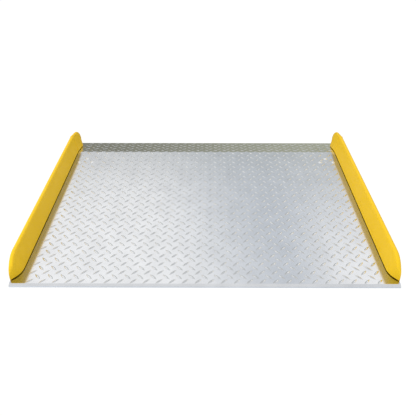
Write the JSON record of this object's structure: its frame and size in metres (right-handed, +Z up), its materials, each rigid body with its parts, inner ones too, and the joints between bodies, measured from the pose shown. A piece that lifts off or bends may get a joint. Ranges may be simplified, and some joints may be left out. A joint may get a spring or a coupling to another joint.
{
  "type": "dock board",
  "caption": "Portable dock board: aluminium tread-plate deck with a bent lip, bolt-on yellow steel side curbs and bolt-on locking legs, for bridging a dock gap with pallet trucks.",
  "frame": {"origin": "middle of the flat underside of the deck, the face that lies on the dock floor", "axes": "+X across the traffic, +Y from the deck's front edge on the dock towards the lip on the vehicle, +Z up, out of the tread face"},
  "size_m": [1.219, 1.0174, 0.1865],
  "materials": {
    "tread_plate": "bright mill finish, raised tread on the top face",
    "curb_paint": "semi-gloss safety yellow paint",
    "bar_steel": "hot-rolled flat bar",
    "zinc": "zinc plated",
    "spring_steel": "plain spring steel",
    "leg_paint": "satin dark grey paint"
  },
  "bodies": {
    "root": {"deck_plate": "tread_plate", "curb_left": "curb_paint", "curb_right": "curb_paint", "lip_curb_left": "curb_paint", "lip_curb_right": "curb_paint", "deck_bar_left": "bar_steel", "deck_bar_right": "bar_steel", "lip_bar_left": "bar_steel", "lip_bar_right": "bar_steel", "curb_screws_left": "zinc", "curb_screws_right": "zinc", "lip_screws_left": "zinc", "lip_screws_right": "zinc", "leg_pad_left": "leg_paint", "leg_pad_right": "leg_paint", "leg_blade_left": "leg_paint", "leg_blade_right": "leg_paint", "leg_gussets_left": "leg_paint", "leg_gussets_right": "leg_paint", "leg_bolts_left": "zinc", "leg_bolts_right": "zinc", "leg_washers_left": "zinc", "leg_washers_right": "zinc", "leg_lock_washers_left": "spring_steel", "leg_lock_washers_right": "spring_steel", "leg_nuts_left": "zinc", "leg_nuts_right": "zinc"}
  },
  "joints": []
}
